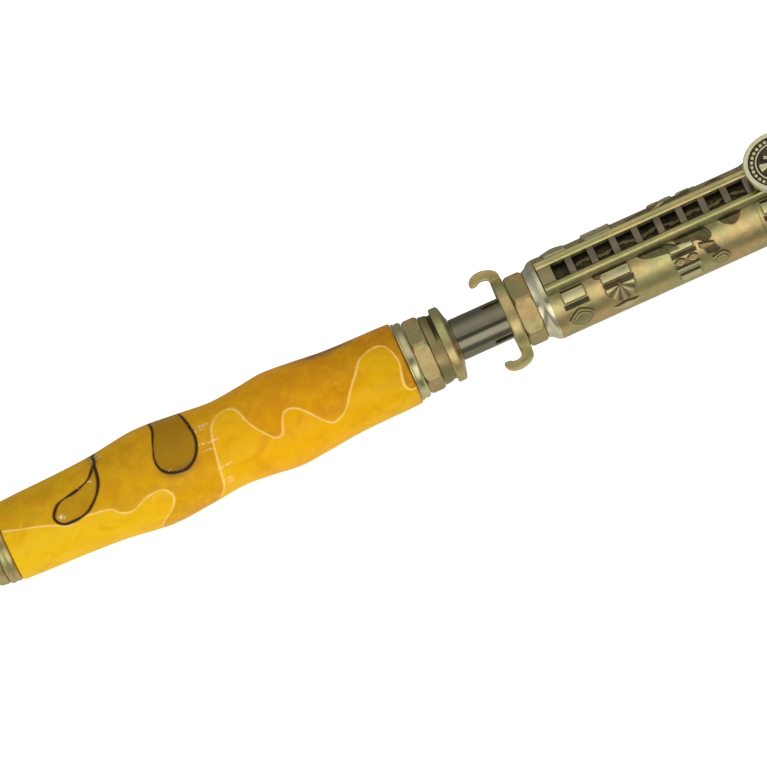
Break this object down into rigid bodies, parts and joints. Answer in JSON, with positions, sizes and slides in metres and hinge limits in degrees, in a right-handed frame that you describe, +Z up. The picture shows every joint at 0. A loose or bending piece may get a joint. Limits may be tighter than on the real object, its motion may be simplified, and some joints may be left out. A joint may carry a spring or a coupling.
{
  "type": "twist ballpoint pen",
  "caption": "Twist ballpoint pen with a turned resin barrel, hose-coupling fittings, a ladder-shaped clip and a round badge.",
  "frame": {"origin": "on the surface that the pen lies on, under the middle of its length", "axes": "+X along the pen from the nozzle to the finial, +Z up through the clip"},
  "size_m": [0.1546, 0.015, 0.017],
  "materials": {
    "antique_brass": "antiqued: polished high spots, dark patina in the recesses",
    "gunmetal": "polished gunmetal plating",
    "resin": "polished, marbled yellow acrylic resin with black loops and pale lines",
    "tube_brass": "plain drawn tube",
    "steel": "plain",
    "black_plastic": "moulded"
  },
  "bodies": {
    "lower_half": {"nozzle_tip": "antique_brass", "tip_ring": "antique_brass", "lower_barrel": "resin", "lower_barrel_tube": "tube_brass", "lower_trim_ring": "antique_brass", "lower_coupling_nut": "antique_brass", "lower_coupling_body": "antique_brass", "mechanism_housing": "steel"},
    "twist_rotor": {"mechanism_sleeve": "gunmetal", "mechanism_cam": "black_plastic"},
    "refill": {"refill_carriage": "steel", "refill_adapter": "black_plastic", "refill_tube": "steel", "refill_tip": "tube_brass"},
    "upper_half": {"claw_plate": "antique_brass", "upper_coupling_nut": "antique_brass", "cone_collar": "antique_brass", "upper_barrel_tube": "tube_brass", "upper_barrel": "antique_brass", "clip_mount": "antique_brass", "clip_pivot_pin": "steel", "clip_spring": "steel", "finial_screw": "steel", "finial": "antique_brass"},
    "clip": {"ladder_clip": "antique_brass", "badge": "antique_brass", "badge_rivet": "antique_brass"}
  },
  "joints": [
    {"name": "barrel_twist", "type": "hinge", "parent": "lower_half", "child": "twist_rotor", "pos_m": [0.01117, 0, 0.00747], "axis": [1, 0, 0], "range_deg": [0, 180]},
    {"name": "refill_advance", "type": "slide", "parent": "lower_half", "child": "refill", "axis": [-1, 0, 0], "range_m": [0, 0.005]},
    {"name": "upper_half_draw", "type": "slide", "parent": "twist_rotor", "child": "upper_half", "axis": [1, 0, 0], "range_m": [-0.0078, 0.012]},
    {"name": "clip_lift", "type": "hinge", "parent": "upper_half", "child": "clip", "pos_m": [0.06452, 0, 0.01377], "axis": [0, 1, 0], "range_deg": [0, 6], "stiffness_Nm_per_rad": 0.5, "springref_deg": -2.86, "deforming": ["clip_spring"]}
  ],
  "couplings": [
    {"joint": "refill_advance", "follows": "barrel_twist", "m_per_rad": 0.00159}
  ]
}
